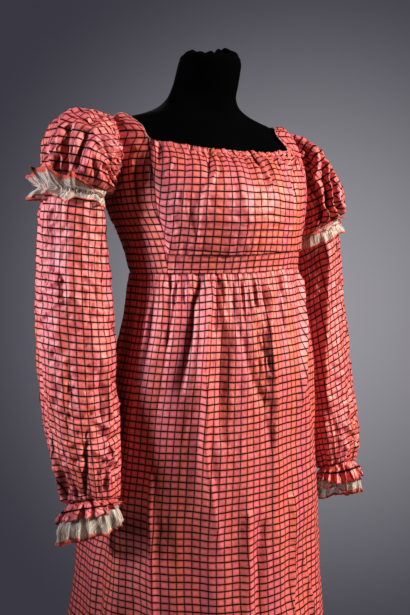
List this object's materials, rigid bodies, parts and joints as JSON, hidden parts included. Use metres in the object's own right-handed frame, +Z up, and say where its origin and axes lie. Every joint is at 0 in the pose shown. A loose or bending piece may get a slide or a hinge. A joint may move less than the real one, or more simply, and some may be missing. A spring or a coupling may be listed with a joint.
{
  "type": "regency gown on dress form",
  "caption": "High-waisted checked silk gown with puffed oversleeves, long sleeves and gauze frills, worn by a limbless dress form on a pole and round foot.",
  "frame": {"origin": "on the floor, under the middle of the stand's round foot", "axes": "+Z up; -Y the way the wearer faces; +X the wearer's left"},
  "size_m": [0.5535, 0.5704, 1.4884],
  "materials": {
    "silk_check": "shot silk taffeta, coral with a fine black check, crisp, with a soft sheen",
    "cream_gauze": "thin cream silk gauze, gathered, matt",
    "black_jersey": "black knitted jersey, matt",
    "black_metal": "satin black paint"
  },
  "bodies": {
    "root": {"stand_foot": "black_metal", "stand_pole": "black_metal", "form_torso": "black_jersey", "bodice_front": "silk_check", "waistband": "silk_check", "bodice_back": "silk_check", "skirt_front": "silk_check", "skirt_side_left": "silk_check", "skirt_back": "silk_check", "skirt_side_right": "silk_check", "bodice_side_right": "silk_check", "puff_right": "silk_check", "sleeve_right": "silk_check", "ruche_right": "cream_gauze", "cuff_frill_right": "silk_check", "cuff_ruffle_right": "cream_gauze", "bodice_side_left": "silk_check", "puff_left": "silk_check", "sleeve_left": "silk_check", "ruche_left": "cream_gauze", "cuff_frill_left": "silk_check", "cuff_ruffle_left": "cream_gauze"}
  },
  "joints": []
}
